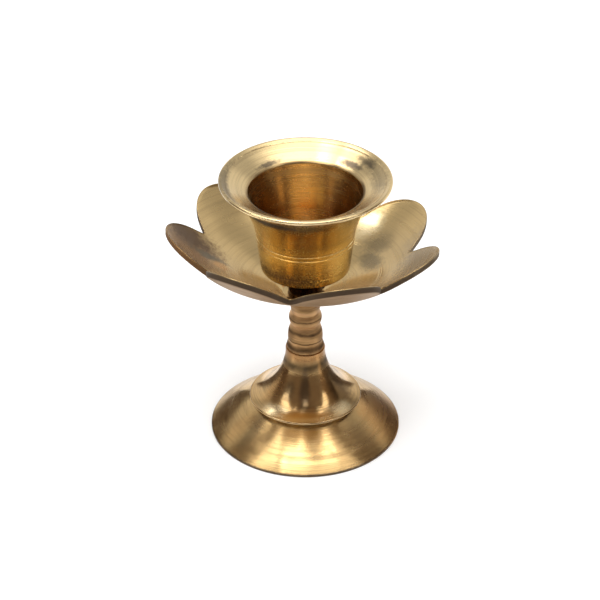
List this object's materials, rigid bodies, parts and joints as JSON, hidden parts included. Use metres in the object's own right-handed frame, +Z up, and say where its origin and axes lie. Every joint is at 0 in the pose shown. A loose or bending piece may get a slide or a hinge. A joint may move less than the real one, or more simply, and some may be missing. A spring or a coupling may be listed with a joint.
{
  "type": "candle holder",
  "caption": "Turned brass candle holder: a flared cup on a short neck over a lotus-petal drip dish, on a ringed stem, a bell knop and a hollow conical foot.",
  "frame": {"origin": "on the axis of the tie rod, in the plane that the foot stands on", "axes": "+Z up along the tie rod; -Y is the front, towards the viewer; +X is the viewer's right"},
  "size_m": [0.0944, 0.0943, 0.1015],
  "materials": {
    "foot_brass": "turned and polished",
    "knop_brass": "turned and polished",
    "stem_brass": "turned and polished",
    "dish_brass": "turned, satin",
    "cup_brass": "turned, satin, tarnished",
    "steel": "plated"
  },
  "bodies": {
    "root": {"foot_skirt": "foot_brass", "bell_knop": "knop_brass", "stem": "stem_brass", "petal_dish": "dish_brass", "cup_neck": "cup_brass", "candle_cup": "cup_brass", "tie_rod": "steel", "base_washer": "steel", "base_nut": "steel", "cup_nut": "steel"}
  },
  "joints": []
}
